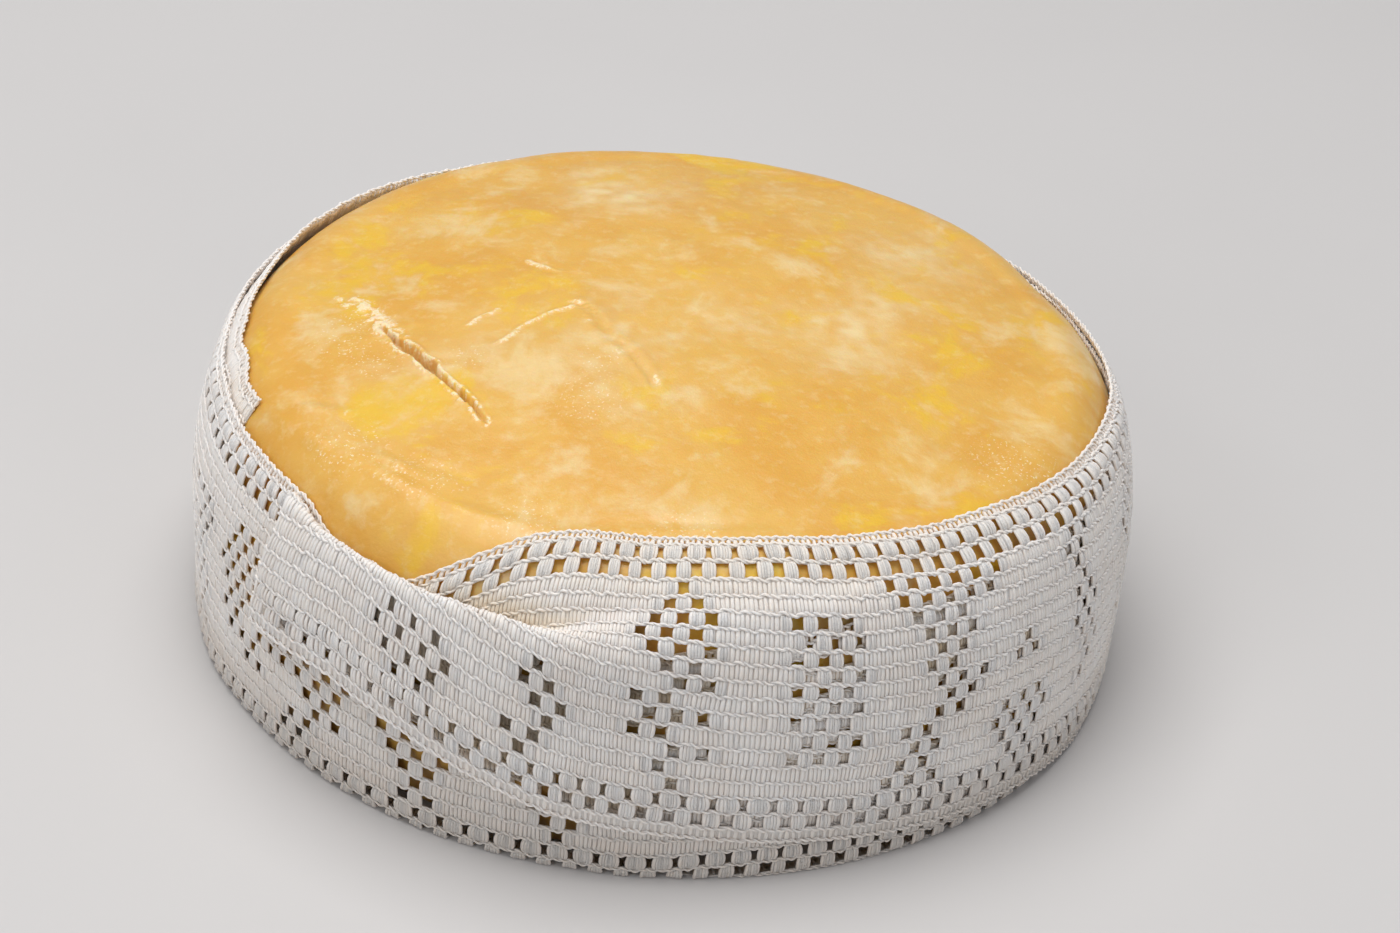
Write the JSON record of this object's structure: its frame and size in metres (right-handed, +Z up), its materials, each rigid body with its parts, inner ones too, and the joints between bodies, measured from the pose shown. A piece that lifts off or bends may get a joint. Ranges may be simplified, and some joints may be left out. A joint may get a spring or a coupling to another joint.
{
  "type": "lace-wrapped soft cheese wheel",
  "caption": "Small wheel of soft ripened cheese with a domed smooth rind, its side wrapped in a long strip of white knitted filet lace.",
  "frame": {"origin": "centre of the flat base, on the surface that the wheel stands on", "axes": "+Z up through the middle of the wheel; -Y is the front, where the outer end of the lace shows at the left"},
  "size_m": [0.142, 0.142, 0.052],
  "materials": {
    "rind": "smooth waxy amber rind, lightly glossy, mottled yellow and cream",
    "cotton_lace": "matt off-white knitted cotton"
  },
  "bodies": {
    "root": {"cheese_wheel": "rind", "lace_band": "cotton_lace"}
  },
  "joints": []
}
